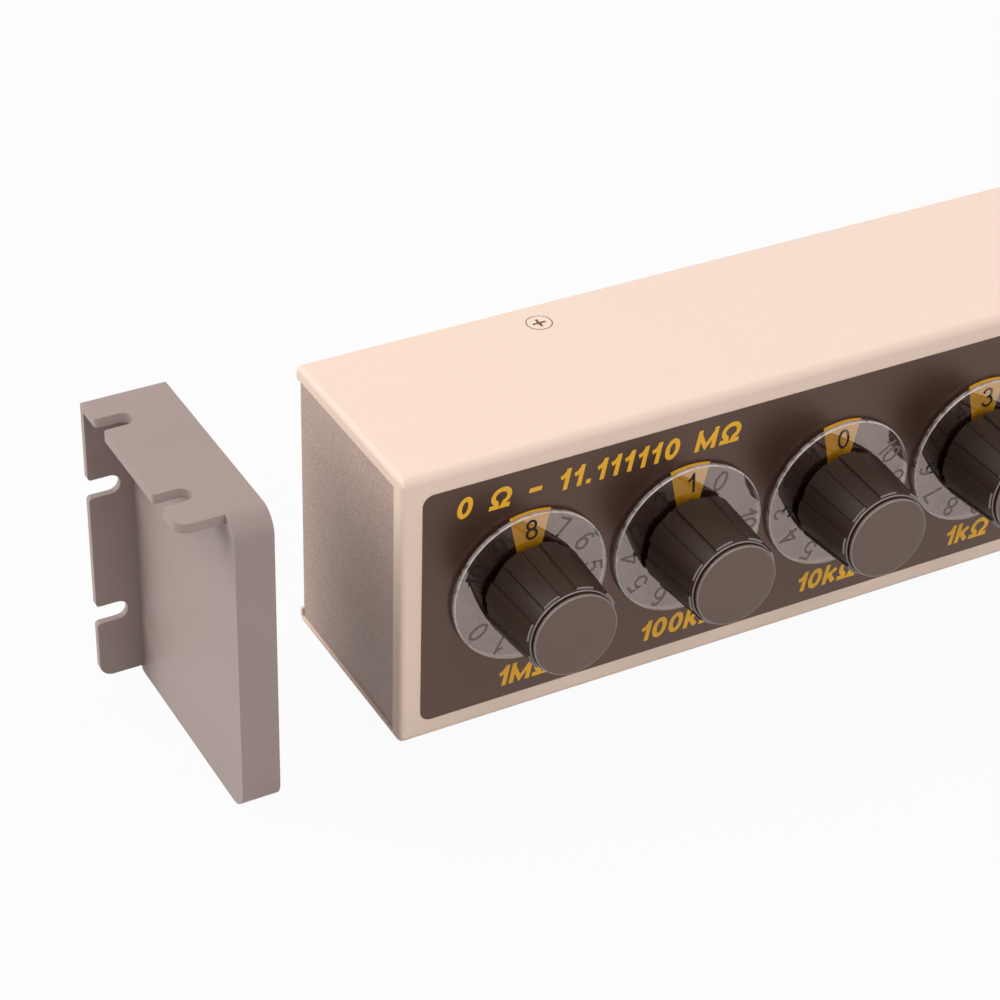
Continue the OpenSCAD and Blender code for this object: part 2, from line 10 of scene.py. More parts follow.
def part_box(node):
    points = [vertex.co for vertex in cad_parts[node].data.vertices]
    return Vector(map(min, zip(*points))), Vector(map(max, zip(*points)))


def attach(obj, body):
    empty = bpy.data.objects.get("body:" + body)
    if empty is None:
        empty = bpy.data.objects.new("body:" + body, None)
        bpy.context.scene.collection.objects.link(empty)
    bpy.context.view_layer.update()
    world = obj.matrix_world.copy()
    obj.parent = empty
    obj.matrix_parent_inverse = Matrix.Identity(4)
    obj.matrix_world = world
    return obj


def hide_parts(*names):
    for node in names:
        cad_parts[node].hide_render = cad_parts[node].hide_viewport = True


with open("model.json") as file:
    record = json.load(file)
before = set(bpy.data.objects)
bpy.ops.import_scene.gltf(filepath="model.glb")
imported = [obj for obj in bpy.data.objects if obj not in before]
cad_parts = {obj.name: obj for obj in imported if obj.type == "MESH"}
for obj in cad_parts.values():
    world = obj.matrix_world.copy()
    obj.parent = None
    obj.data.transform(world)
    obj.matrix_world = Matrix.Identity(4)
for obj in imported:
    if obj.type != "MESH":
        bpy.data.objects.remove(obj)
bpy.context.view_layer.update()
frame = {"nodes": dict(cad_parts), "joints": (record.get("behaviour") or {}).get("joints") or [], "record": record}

bl_info = {
    "name": "Decade Resistance Box",
    "version": (1, 0, 0),
    "blender": (4, 5, 0),
    "location": "View3D > Sidebar > Decade Box",
    "description": "Finishes, printing and stage for a bench decade resistance box",
    "category": "Object",
}

MM = 0.001
SHELL_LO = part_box("front_shell")[0]
FRONT_Y = SHELL_LO.y
LABEL_OUT = FRONT_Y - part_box("front_label")[0].y
TURNS = sorted((j for j in frame["joints"] if j["name"].startswith("decade_")), key=lambda j: j["pos_m"][0])
DECADES = range(1, len(TURNS) + 1)
STEP = math.radians(30)
DIAL_SLACK = math.radians(2)
FIGURES = 11
NODE_BODY = {n: b for b, names in frame["record"]["behaviour"]["bodies"].items() for n in names}


def dial_centre(i):
    """Place of a decade's axis across the front: its x and z in the row frame."""
    return TURNS[i - 1]["pos_m"][0], TURNS[i - 1]["pos_m"][2]


def setting(i):
    """The figure that a decade shows at rest, from how far it can turn back."""
    return round(-math.radians(TURNS[i - 1]["range_deg"][0]) / STEP)


def reach(node):
    """How far a node stands out of the front: its back and its front, in metres."""
    lo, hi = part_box(node)
    return FRONT_Y - hi.y, FRONT_Y - lo.y


def half_width(node):
    """Half of a node's width along the case."""
    lo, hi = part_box(node)
    return (hi.x - lo.x) / 2


def colour(name, text, value):
    """A colour property, written as linear red, green and blue."""
    return bpy.props.FloatVectorProperty(
        name=name, description=text, default=value, size=3, min=0.0, max=1.0, subtype="COLOR")


def length(name, text, millimetres):
    """A length property whose default is given in millimetres."""
    return bpy.props.FloatProperty(
        name=name, description=text, default=millimetres * MM, min=0.0, unit="LENGTH", precision=5)


class BoxSizes(bpy.types.PropertyGroup):
    """Sizes of the print, of the softened edges, and of the dials and knobs."""

    figure_height: length("Figure height", "Height of the figures on the dials", 5.0)
    figure_radius: length("Figure circle", "Radius of the circle that the figures stand on", 14.5)
    title_height: length("Heading height", "Height of the heading's capitals", 5.05)
    title_x: length("Heading margin", "Distance of the heading from the left end", 11.8)
    title_z: length("Heading line", "Height of the heading above the bottom of the case", 53.9)
    range_height: length("Range height", "Height of the range marks under the dials", 5.1)
    range_z: length("Range line", "Height of the range marks above the bottom of the case", 7.8)
    window_top: length("Window edge", "How far the yellow window reaches beyond its dial", 0.1)
    window_head: length("Window head", "Half width of a window at its top", 4.87)
    window_foot: length("Window foot", "Half width of a window at its bottom", 2.6)
    window_low: length("Window bottom", "Distance of a window's bottom from the dial's axis", 7.2)
    ink: length("Ink", "How far the print stands above its ground", 0.02)
    shell_edge: length("Shell edge", "Rounding of the shell's cut edges", 0.35)
    shell_bend: length("Shell bend", "Rounding of the bends along the shell's two ends", 1.1)
    chassis_edge: length("Chassis edge", "Rounding of the chassis edges", 0.25)
    cap_edge: length("End cap edge", "Rounding of the end caps' moulded edges", 0.55)
    metal_edge: length("Metal edge", "Rounding of small turned parts", 0.12)
    # Width of the painted shade ring round each screw head, where the gap at the countersink would shade.
    screw_line: length("Screw line", "Width of the shaded line round the screw heads", 0.3)
    foot_edge: length("Foot edge", "Rounding of the feet", 0.4)
    dial_bore: length("Dial bore", "Radius of the hole in a dial", 8.75)
    dial_edge: length("Dial edge", "Chamfer along both edges of a dial", 0.25)
    knob_gap: length("Knob gap", "Gap between a knob's barrel and its dial", 1.2)
    knob_neck: length("Knob neck", "Radius of a knob's neck in that gap", 9.4)
    knob_base: length("Knob base", "Radius of a knob's barrel at its back", 11.05)
    knob_tip: length("Knob tip", "Radius of a knob's barrel at its front", 10.0)
    knob_seat: length("Cap seat", "Radius of the seat for a knob's face", 8.06)
    rib_height: length("Rib height", "Height of a knob's ribs above its barrel", 0.45)
    rib_edge: length("Rib edge", "Width of the rounded edges of a knob's ribs", 0.16)
    rib_foot: length("Rib foot", "Depth of the fine line along the foot of a knob's ribs", 0.14)
    rib_band: length("Rib band", "Plain band in front of the ribs", 0.6)
    face_depth: length("Face depth", "Thickness of a knob's face disc", 0.8)
    face_edge: length("Face edge", "Rounding of the edge of a knob's face", 0.25)


class BoxColours(bpy.types.PropertyGroup):
    """Colours of the finishes and of the print."""

    shell: colour("Shell", "Textured paint of the shell", (0.80, 0.625, 0.524))
    chassis: colour("Chassis", "Textured paint of the chassis", (0.455, 0.333, 0.284))
    label: colour("Label", "Printed film on the front", (0.034, 0.0165, 0.0115))
    yellow: colour("Yellow ink", "Heading, range marks and windows", (0.80, 0.41, 0.012))
    black: colour("Black ink", "Figures on the dials", (0.010, 0.008, 0.007))
    knob: colour("Knob", "Moulding of the knobs", (0.036, 0.0215, 0.0145))
    # Painted highlight: a pale colour on the knobs' rounded corners and rib ends that stands in for lamp
    # highlights there.
    knob_edge: colour("Knob edges", "Polished edges of the knobs", (0.22, 0.18, 0.16))
    knob_face: colour("Knob face", "Satin face of the knobs", (0.125, 0.085, 0.068))
    cap: colour("End cap", "Moulding of the end caps", (0.323, 0.251, 0.232))
    red: colour("Red terminal", "Moulding of the red terminal", (0.42, 0.012, 0.01))
    # Painted light: a pale colour that stands in for the light that a dial's cut edge gathers.
    frost: colour("Dial wall", "Light that the wall of a dial gathers", (0.58, 0.51, 0.48))
    clear: colour("Dial", "What the clear dials let through", (0.885, 0.865, 0.85))
    plating: colour("Screws", "Plating of the screw heads", (0.91, 0.74, 0.62))
    # Painted shade: a dark ring round each screw head, where the gap at the countersink would shade.
    screw_line: colour("Screw line", "Shaded line round the screw heads", (0.2, 0.11, 0.07))
    recess: colour("Screw recess", "Shade in the recesses of the screws", (0.46, 0.27, 0.18))
    rubber: colour("Feet", "Rubber of the feet", (0.022, 0.021, 0.02))
    paper: colour("Floor", "Paper of the floor, which bounces light and takes the shadow", (0.52, 0.52, 0.52))


def sizes():
    """The size settings of the scene."""
    return bpy.context.scene.box_sizes


def colours():
    """The colour settings of the scene."""
    return bpy.context.scene.box_colours


class Value:
    """A shader socket that can be used in sums: each operation adds one Math node."""

    def __init__(self, nodes, socket):
        self.nodes = nodes
        self.socket = socket

    def math(self, operation, a, b):
        return self.nodes.add("Math", {"operation": operation}, {0: a, 1: b})

    def __add__(self, other):
        return self.math("ADD", self, other)

    def __sub__(self, other):
        return self.math("SUBTRACT", self, other)

    def __rsub__(self, other):
        return self.math("SUBTRACT", other, self)

    def __mul__(self, other):
        return self.math("MULTIPLY", self, other)

    def __pow__(self, other):
        return self.math("POWER", self, other)

    def __gt__(self, other):
        return self.math("GREATER_THAN", self, other)

    __radd__ = __add__
    __rmul__ = __mul__

    def sine(self):
        return self.math("SINE", self, 0.0)

    def size(self):
        return self.math("ABSOLUTE", self, 0.0)

    def at_most(self, other):
        return self.math("MINIMUM", self, other)


class Nodes:
    """A node tree that is built one node at a time."""

    def __init__(self, tree):
        self.tree = tree
        self.tree.nodes.clear()

    def add(self, kind, settings=None, sockets=None, out=0):
        """Adds one node: first its settings, then the values or links of its sockets."""
        made = self.tree.nodes.new("ShaderNode" + kind)
        for key, value in (settings or {}).items():
            if key == "stops":
                for stop, (at, shade) in zip(made.color_ramp.elements, value):
                    stop.position, stop.color = at, (shade, shade, shade, 1.0)
            else:
                setattr(made, key, value)
        for key, value in (sockets or {}).items():
            socket = made.inputs[key]
            if isinstance(value, Value):
                self.tree.links.new(value.socket, socket)
            elif socket.type == "RGBA":
                socket.default_value = (*value, 1.0)
            else:
                socket.default_value = value
        return Value(self, made.outputs[out]) if made.outputs else None

    def seen(self):
        """1 where the camera looks at a surface itself, in a mirror or through a clear piece, else 0."""
        rays = [self.add("LightPath", out=f"Is {kind} Ray") for kind in ("Camera", "Glossy", "Transmission")]
        return (rays[0] + rays[1] + rays[2]).at_most(1.0)


class Finish(Nodes):
    """One procedural material. Patterns are in metres, on Object coordinates."""

    def __init__(self, name):
        self.material = bpy.data.materials.new(name)
        self.material.use_nodes = True
        super().__init__(self.material.node_tree)
        self.place = self.add("TexCoord", out="Object")

    def noise(self, grain, detail=2.0, place=None):
        """Noise whose features are about grain millimetres across, from 0 to 1."""
        return self.add("TexNoise", {}, {"Vector": place or self.place, "Scale": 1.0 / (grain * MM),
                                         "Detail": detail, "Roughness": 0.55})

    def ramp(self, value, low, high):
        """Spreads a value so that low becomes 0 and high becomes 1."""
        return self.add("ValToRGB", {"stops": ((low, 0.0), (high, 1.0))}, {0: value})

    def shades(self, base, amount, mask):
        """The base colour, darker by amount where the mask is 0 and lighter where it is 1."""
        dark = [c * (1 - amount) for c in base]
        light = [min(c * (1 + amount), 1.0) for c in base]
        return self.blend(mask, dark, light)

    def blend(self, mask, a, b):
        """Colour a where the mask is 0, b where it is 1."""
        return self.add("Mix", {"data_type": "RGBA"}, {0: mask, 6: a, 7: b}, out=2)

    def bump(self, height, depth, under=None):
        """A normal from a height between 0 and 1 that stands for depth millimetres."""
        sockets = {"Strength": 1.0, "Distance": depth * MM, "Height": height}
        if under is not None:
            sockets["Normal"] = under
        return self.add("Bump", {}, sockets)

    def surface(self, **sockets):
        """One Principled shader: keys are socket names with _ for a space."""
        return self.add("BsdfPrincipled", {}, {k.replace("_", " "): v for k, v in sockets.items()})

    def done(self, shader):
        """Links the shader to the output and returns the material."""
        self.add("OutputMaterial", {}, {"Surface": shader})
        return self.material


def paint_finish(name, base, grain, depth, rough, contrast):
    """Textured powder coat: small pebbles in the bump, faint mottling in colour and shine."""
    f = Finish(name)
    pebbles = f.noise(grain, 3.0)
    mottle = f.noise(14.0, 2.0)
    speck = f.ramp(f.noise(grain * 0.6, 1.0), 0.35, 0.7)
    tone = f.shades(base, contrast, mottle * 0.3 + speck * 0.7)
    skin = f.bump(pebbles, depth, f.bump(mottle, 0.03))
    return f.done(f.surface(Base_Color=tone, Roughness=rough - 0.05 + 0.1 * pebbles, Normal=skin,
                            Specular_IOR_Level=0.25))


def moulding_finish(name, base, rough, spark, shine=0.5):
    """Moulded plastic: spark-eroded grain, slow flow marks and slightly uneven shine."""
    f = Finish(name)
    grain = f.noise(spark, 2.0)
    flow = f.noise(22.0, 3.0)
    tone = f.shades(base, 0.06, flow)
    return f.done(f.surface(Base_Color=tone, Roughness=rough - 0.06 + 0.08 * flow + 0.05 * grain,
                            Normal=f.bump(grain, 0.008, f.bump(flow, 0.05)), Specular_IOR_Level=shine))


def metal_finish(name, base, rough):
    """Plated or drawn metal: fine scratches along the case, faint tarnish in patches."""
    f = Finish(name)
    drawn = f.add("Mapping", {}, {"Vector": f.place, "Scale": (0.08, 1.0, 1.0)})
    lines = f.noise(0.12, 2.0, drawn)
    patch = f.noise(5.0, 3.0)
    tone = f.shades(base, 0.1, patch)
    return f.done(f.surface(Base_Color=tone, Metallic=1.0, Roughness=rough + 0.12 * patch,
                            Normal=f.bump(lines, 0.004)))


def screw_finish():
    """Plated heads with a painted shade line round them. The screws stand at two places, which their box gives,
    and the line is what lies further from the nearer place than a head's radius less the line's width."""
    f, c = Finish("screw_plating"), colours()
    lo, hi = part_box("case_screws")
    middle, radius = (lo + hi) / 2, (hi.y - lo.y) / 2
    x = f.add("SeparateXYZ", {}, {0: f.place}, out="X") - middle.x
    y = f.add("SeparateXYZ", {}, {0: f.place}, out="Y") - middle.y
    along = x.size() - ((hi.x - lo.x) / 2 - radius)
    # Painted shade: the ring round each head is dark and is not metal.
    line = (along * along + y * y) ** 0.5 > radius - sizes().screw_line
    patch = f.noise(5.0, 3.0)
    tone = f.blend(line, f.shades(c.plating, 0.1, patch), c.screw_line)
    return f.done(f.surface(Base_Color=tone, Metallic=1 - line, Roughness=0.2 + 0.12 * patch + 0.3 * line,
                            Normal=f.bump(f.noise(0.12), 0.004)))


def ink_finish(name, base, rough):
    """Screen-printed ink: slightly uneven in colour and shine, with pinholes in its skin."""
    f = Finish(name)
    cover = f.noise(1.2, 3.0)
    return f.done(f.surface(Base_Color=f.shades(base, 0.05, cover), Roughness=rough + 0.1 * cover,
                            Normal=f.bump(f.noise(0.15, 1.0), 0.003)))


def label_finish():
    """Printed film: velvet grain under a satin lacquer, with faint handling marks in the shine."""
    f = Finish("label_film")
    velvet = f.noise(0.18, 2.0)
    cloud = f.noise(30.0, 3.0)
    tone = f.shades(colours().label, 0.08, 0.6 * cloud + 0.4 * velvet)
    return f.done(f.surface(Base_Color=tone, Roughness=0.23 + 0.06 * cloud + 0.04 * velvet,
                            Normal=f.bump(velvet, 0.002), Specular_IOR_Level=0.9,
                            Specular_Tint=(1.0, 0.65, 0.52)))


def face_finish():
    """Satin knob face: turned rings round the axis, from the piece's own radius attribute."""
    f = Finish("knob_face_satin")
    radius = f.add("Attribute", {"attribute_name": "radius"}, out="Fac")
    rings = 0.5 + 0.5 * (radius * (2 * math.pi / (0.22 * MM))).sine()
    grain = f.noise(0.12, 2.0)
    tone = f.shades(colours().knob_face, 0.06, 0.5 * grain + 0.5 * f.noise(8.0, 2.0))
    return f.done(f.surface(Base_Color=tone, Roughness=0.4 + 0.06 * grain,
                            Normal=f.bump(rings, 0.0012, f.bump(grain, 0.004)), Specular_IOR_Level=0.3))


def clear_finish(name, plain, gloss):
    """Clear plastic: mostly see-through, with a mirror whose strength rises towards grazing sight."""
    f = Finish(name)
    film = f.add("BsdfTransparent", {}, {"Color": tuple(colours().clear)})
    return f.done(glazed(f, film, plain, gloss))


def glazed(f, under, plain, gloss):
    """A mirror over another shader: its share is plain at right angles and rises to 1 at grazing sight."""
    facing = f.add("LayerWeight", {}, {"Blend": 0.5}, out="Facing")
    haze = f.noise(9.0, 3.0)
    share = plain + (1 - plain) * facing ** 5.0 + 0.02 * haze
    mirror = f.surface(Base_Color=f.shades((0.96, 0.81, 0.735), 0.03, haze), Metallic=1.0,
                       Roughness=gloss + 0.02 * haze)
    return f.add("MixShader", {}, {0: share.at_most(1.0), 1: under, 2: mirror})


def wall_finish(name, least, most, rough):
    """Cut edge of clear plastic, with painted light: a pale colour stands for the light that it gathers, a painted
    highlight in streaks broken by dark specks. The pale share runs from least to most along the edge."""
    f = Finish(name)
    streaks = f.ramp(f.noise(1.6, 3.0), 0.38, 0.52)
    film = f.add("BsdfTransparent", {}, {"Color": tuple(colours().clear)})
    tone = f.shades(colours().frost, 0.12, f.noise(0.5))
    frost = f.surface(Base_Color=tone, Roughness=rough + 0.1 * streaks)
    return f.done(f.add("MixShader", {}, {0: least + (most - least) * streaks, 1: film, 2: frost}))


def figure_finish():
    """Black figures under the gloss of the dial."""
    f = Finish("black_ink")
    cover = f.noise(1.2, 3.0)
    ink = f.surface(Base_Color=f.shades(colours().black, 0.05, cover), Roughness=0.6 + 0.1 * cover,
                    Normal=f.bump(f.noise(0.15, 1.0), 0.003), Specular_IOR_Level=0.1)
    return f.done(glazed(f, ink, 0.1, 0.05))


def board_finish():
    """Board laminate: green resist over a faint weave of glass cloth."""
    f = Finish("board_laminate")
    weave = f.add("TexChecker", {}, {"Vector": f.place, "Scale": 1400.0}, out="Fac")
    tone = f.shades((0.03, 0.17, 0.06), 0.1, 0.5 * weave + 0.5 * f.noise(6.0))
    return f.done(f.surface(Base_Color=tone, Roughness=0.3 + 0.1 * f.noise(2.0),
                            Normal=f.bump(weave, 0.01)))


def grid_faces(rows, cols, closed):
    """Quads of a grid: columns wrap round, and rows too where the profile is closed."""
    i = np.arange(rows if closed else rows - 1)[:, None]
    j = np.arange(cols)[None, :]
    k, m = (i + 1) % rows, (j + 1) % cols
    return np.stack([i * cols + j, i * cols + m, k * cols + m, k * cols + j], -1).reshape(-1, 4)


def sheet_faces(rows, cols):
    """Quads of a grid that is open both ways."""
    a = (np.arange(rows - 1)[:, None] * cols + np.arange(cols - 1)[None, :]).ravel()
    return np.stack([a, a + 1, a + cols + 1, a + cols], -1)


def on_front(centre, u, v, w):
    """Row-frame points: u to the right and v up from a centre on the panel, w out of the panel."""
    u, v, w = np.broadcast_arrays(u, v, w)
    return np.stack([centre[0] + u, FRONT_Y - w, centre[1] + v], -1)


def rounded(corners, steps=5):
    """Closed outline through corners (r, w, radius), each replaced by an arc that touches both sides.
    The arc's centre lies on the corner's bisector at radius / sin(half angle)."""
    out = []
    points = np.array([c[:2] for c in corners], float)
    for k, (_, _, radius) in enumerate(corners):
        b = points[k]
        d1, d2 = points[k - 1] - b, points[(k + 1) % len(points)] - b
        d1, d2 = d1 / np.linalg.norm(d1), d2 / np.linalg.norm(d2)
        if radius <= 0:
            out.append(b[None])
            continue
        half = math.acos(float(np.clip(d1 @ d2, -1, 1))) / 2
        middle = b + (d1 + d2) / np.linalg.norm(d1 + d2) * radius / math.sin(half)
        t = np.linspace(0, 1, steps)[:, None]
        arm = (1 - t) * (b + d1 * radius / math.tan(half)) + t * (b + d2 * radius / math.tan(half)) - middle
        out.append(middle + radius * arm / np.linalg.norm(arm, axis=1, keepdims=True))
    return np.concatenate(out)


def lathe(centre, profile, angles, inset=None):
    """Surface of revolution: the point at profile place s and angle a lies at radius r(s) less
    inset(a, w(s)) and stands w(s) out of the panel."""
    r, w = profile[:, :1], profile[:, 1:]
    a = angles[None, :]
    r = r - inset(a, w) * (r > 0) if inset else r
    return on_front(centre, r * np.cos(a), r * np.sin(a), w)


def turn(count):
    """Evenly spaced angles round a full turn."""
    return np.linspace(0, 2 * math.pi, count, endpoint=False)


def spread(mesh, centre):
    """Where the middles of a mesh's faces lie: their distance from an axis that stands on the panel, and how
    far out of the panel they are."""
    middles = np.empty(len(mesh.polygons) * 3)
    mesh.polygons.foreach_get("center", middles)
    x, y, z = middles.reshape(-1, 3).T
    return np.hypot(x - centre[0], z - centre[1]), FRONT_Y - y


def soft_step(x, width):
    """0 below -width / 2, 1 above width / 2, and a smooth cubic between."""
    t = np.clip(x / width + 0.5, 0, 1)
    return t * t * (3 - 2 * t)


def add_piece(name, points, faces, finish, like, stands_for=True, sharp=38):
    """Makes a piece from points and faces: doubles merged, faces outwards, edges over sharp
    degrees kept. It rides with the CAD node that it is like."""
    mesh = bpy.data.meshes.new(name)
    mesh.from_pydata(np.asarray(points).reshape(-1, 3).tolist(), [], [list(f) for f in faces])
    work = bmesh.new()
    work.from_mesh(mesh)
    bmesh.ops.remove_doubles(work, verts=work.verts, dist=1e-7)
    bmesh.ops.recalc_face_normals(work, faces=work.faces)
    work.to_mesh(mesh)
    work.free()
    return place_piece(name, mesh, finish, like, stands_for, sharp)


def place_piece(name, mesh, finish, like, stands_for, sharp):
    """Shades a mesh, links it and ties it to the CAD node that it is like."""
    mesh.polygons.foreach_set("use_smooth", np.ones(len(mesh.polygons), bool))
    mesh.set_sharp_from_angle(angle=math.radians(sharp))
    mesh.materials.append(finish)
    piece = bpy.data.objects.new(name, mesh)
    bpy.context.scene.collection.objects.link(piece)
    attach(piece, NODE_BODY[like])
    if stands_for:
        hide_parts(like)
    return piece


def set_finishes(piece, index):
    """Gives each face of a piece the finish with its index."""
    piece.data.polygons.foreach_set("material_index", index.astype(np.int32))


def dress(node, finish):
    """Gives a CAD node that shows as it is a finish."""
    frame["nodes"][node].data.materials.clear()
    frame["nodes"][node].data.materials.append(finish)


def soften(node, radius, finish, segments=3):
    """Stands a copy of a CAD node in its place, merged, with its sharp edges rounded."""
    mesh = bpy.data.meshes.new(node + "_soft")
    work = bmesh.new()
    work.from_mesh(frame["nodes"][node].data)
    bmesh.ops.remove_doubles(work, verts=work.verts, dist=2e-6)
    bmesh.ops.dissolve_limit(work, angle_limit=math.radians(0.4), verts=work.verts, edges=work.edges)
    work.to_mesh(mesh)
    work.free()
    piece = place_piece(node + "_soft", mesh, finish, node, stands_for=True, sharp=32)
    bevel = piece.modifiers.new("rounding", "BEVEL")
    bevel.width, bevel.segments = radius, segments
    bevel.limit_method, bevel.angle_limit = "ANGLE", math.radians(38)
    bevel.harden_normals = True
    flat = piece.modifiers.new("flat_faces", "WEIGHTED_NORMAL")
    flat.keep_sharp = True
    return piece


def bend_ends(piece, bend):
    """Rounds the outline of a piece's two ends by the bend, and leaves its other sharp edges their radius.
    An edge counts as outline where it lies on an end plane, less than a sheet's thickness inside the box."""
    mesh, rounding = piece.data, piece.modifiers["rounding"]
    places, pairs = np.empty(len(mesh.vertices) * 3), np.empty(len(mesh.edges) * 2, np.int32)
    sharp = np.empty(len(mesh.edges), bool)
    mesh.vertices.foreach_get("co", places)
    mesh.edges.foreach_get("vertices", pairs)
    mesh.edges.foreach_get("use_edge_sharp", sharp)
    places = places.reshape(-1, 3)
    inside = np.minimum(places - places.min(0), places.max(0) - places)
    tiny, sheet = 0.01 * MM, 1.5 * MM
    outline = (inside[:, 0] < tiny) & (inside[:, 1:].min(1) < sheet)
    share = np.where(outline[pairs.reshape(-1, 2)].all(1), 1.0, rounding.width / bend) * sharp
    weights = mesh.attributes.new("bevel_weight_edge", "FLOAT", "EDGE").data
    weights.foreach_set("value", share.astype(np.float32))
    rounding.width, rounding.limit_method = bend, "WEIGHT"
    rounding.use_clamp_overlap = False


def bow(x, y, rx, ry, start, stop):
    """Arc of an ellipse between two angles in degrees: the point at a is (x + rx cos a, y + ry sin a)."""
    a = np.radians(np.linspace(start, stop, 25))
    return np.stack([x + rx * np.cos(a), y + ry * np.sin(a)], -1)


def run(*points):
    """Straight strokes from point to point."""
    return np.array(points, float)


# Width of the pen that draws the figures, as a share of their height.
THIN_PEN = 0.125
# How far each further stroke of a glyph stands above the one before, so that crossing strokes stay apart.
INK_LAYER = 0.008 * MM
# For each glyph its width, as a share of its height, and its strokes in a unit square.
GLYPHS = {
    "0": (0.60, [bow(0.5, 0.5, 0.5, 0.5, 90, 450)]),
    "1": (0.34, [run((1, 0), (1, 1)), run((0, 0.68), (0.4, 0.73), (0.8, 0.9))]),
    "2": (0.58, [np.concatenate([bow(0.5, 0.71, 0.5, 0.29, 165, -38), run((0, 0), (1, 0))])]),
    "3": (0.58, [bow(0.47, 0.755, 0.45, 0.245, 160, -80), bow(0.47, 0.265, 0.53, 0.265, 80, -162)]),
    "4": (0.62, [run((0.78, 0), (0.78, 1)), run((0.68, 0.9), (0, 0.28), (1, 0.28))]),
    "5": (0.58, [np.concatenate([run((0.92, 1), (0.18, 1), (0.06, 0.5)),
                                 bow(0.46, 0.32, 0.54, 0.32, 130, -155)])]),
    "6": (0.58, [bow(0.5, 0.31, 0.5, 0.31, 0, 360), bow(0.52, 0.45, 0.52, 0.55, 65, 190)]),
    "7": (0.56, [run((0, 1), (1, 1), (0.36, 0))]),
    "8": (0.58, [bow(0.5, 0.76, 0.43, 0.24, 0, 360), bow(0.5, 0.265, 0.5, 0.265, 0, 360)]),
    "9": (0.58, [bow(0.5, 0.69, 0.5, 0.31, 0, 360), bow(0.48, 0.55, 0.52, 0.55, 10, -115)]),
    "M": (0.90, [run((0, 0), (0, 1)), run((1, 0), (1, 1)), run((0.03, 0.82), (0.5, 0.06), (0.97, 0.82))]),
    "k": (0.58, [run((0, 0), (0, 1)), run((0.12, 0.32), (0.88, 0.68)), run((0.42, 0.42), (0.92, 0.04))]),
    "Ω": (0.85, [np.concatenate([run((0, 0), (0.33, 0)), bow(0.5, 0.59, 0.5, 0.41, 240, -60),
                                 run((0.67, 0), (1, 0))])]),
    "–": (0.50, [run((0, 0.42), (1, 0.42))]),
    ".": (THIN_PEN, [run((0, 0), (0, 1e-3))]),
    " ": (0.30, []),
}


def ribbon(path, width):
    """A pen carried along a path: each point is set off to both sides by half the width, along the
    bisector of its two directions and lengthened by 1 / cos(half the bend). Open ends run on by half
    a width. Returns points and faces that look forward."""
    closed = np.allclose(path[0], path[-1])
    path = np.array(path[:-1] if closed else path)
    ahead = np.roll(path, -1, 0) - path
    ahead /= np.linalg.norm(ahead, axis=1, keepdims=True)
    if not closed:
        ahead[-1] = ahead[-2]
        path[0] -= ahead[0] * width / 2
        path[-1] += ahead[-1] * width / 2
    behind = np.roll(ahead, 1, 0) if closed else np.concatenate([ahead[:1], ahead[:-1]])
    along = ahead + behind
    along /= np.linalg.norm(along, axis=1, keepdims=True)
    stretch = width / 2 / np.maximum((along * ahead).sum(1, keepdims=True), 0.6)
    side = np.stack([-along[:, 1], along[:, 0]], -1) * stretch
    count = len(path)
    a = np.arange(count if closed else count - 1)
    b = (a + 1) % count
    return np.concatenate([path + side, path - side]), np.stack([a, a + count, b + count, b], -1)


def lettering(text, height, pen=THIN_PEN, slant=0.0, gap=0.12):
    """A line of type drawn with a pen, all in shares of the height: each glyph's unit square is laid
    so that the ink fills its width, and the line leans by slant. Baseline at 0, start at 0.
    Returns points, how far each lies above the first stroke of its glyph, and faces."""
    points, lifts, faces, start, x = [], [], [], 0, 0.0
    for letter in text:
        width, strokes = GLYPHS[letter]
        width += pen - THIN_PEN
        for layer, stroke in enumerate(strokes):
            placed = stroke * [width - pen, 1 - pen] + [x + pen / 2, pen / 2]
            flat, quads = ribbon(placed, pen)
            points.append(flat)
            lifts.append(np.full(len(flat), layer * INK_LAYER))
            faces.append(quads + start)
            start += len(flat)
        x += width + gap
    flat = np.concatenate(points)
    flat[:, 0] += slant * flat[:, 1]
    return flat * height, np.concatenate(lifts), np.concatenate(faces)


def inked(name, lines, finish, like):
    """Joins placed lines of type into one flat piece of print that faces forward."""
    points, faces, start = [], [], 0
    for placed, polygons in lines:
        points.append(placed)
        faces += (np.asarray(polygons) + start).tolist()
        start += len(placed)
    mesh = bpy.data.meshes.new(name)
    mesh.from_pydata(np.concatenate(points).tolist(), [], faces)
    return place_piece(name, mesh, finish, like, stands_for=False, sharp=60)


class BOX_OT_sheet_metal(bpy.types.Operator):
    """Shell, chassis, screws and feet with softened edges and textured paint"""

    bl_idname = "decade_box.sheet_metal"
    bl_label = "Sheet metal"

    def execute(self, context):
        s, c = sizes(), colours()
        paint = paint_finish("shell_paint", c.shell, grain=0.5, depth=0.02, rough=0.5, contrast=0.035)
        bend_ends(soften("front_shell", s.shell_edge, paint), s.shell_bend)
        coarse = paint_finish("chassis_paint", c.chassis, grain=0.6, depth=0.14, rough=0.45, contrast=0.26)
        soften("rear_chassis", s.chassis_edge, coarse)
        screws = soften("case_screws", s.metal_edge, screw_finish())
        # Painted shade in the recesses of the screws.
        shade = moulding_finish("screw_shade", c.recess, rough=0.6, spark=0.3, shine=0.2)
        screws.data.materials.append(shade)
        self.shade_recesses(screws)
        rubber = moulding_finish("foot_rubber", c.rubber, rough=0.75, spark=0.3, shine=0.25)
        soften("rubber_feet", s.foot_edge, rubber)
        return {"FINISHED"}

    @staticmethod
    def shade_recesses(screws):
        """Painted shade in the recesses: a dark finish on all faces under the outer faces of the heads."""
        lo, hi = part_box("case_screws")
        middles = np.empty(len(screws.data.polygons) * 3)
        screws.data.polygons.foreach_get("center", middles)
        z = middles.reshape(-1, 3)[:, 2]
        deep = np.minimum(z - lo.z, hi.z - z) > 0.05 * MM
        set_finishes(screws, deep)


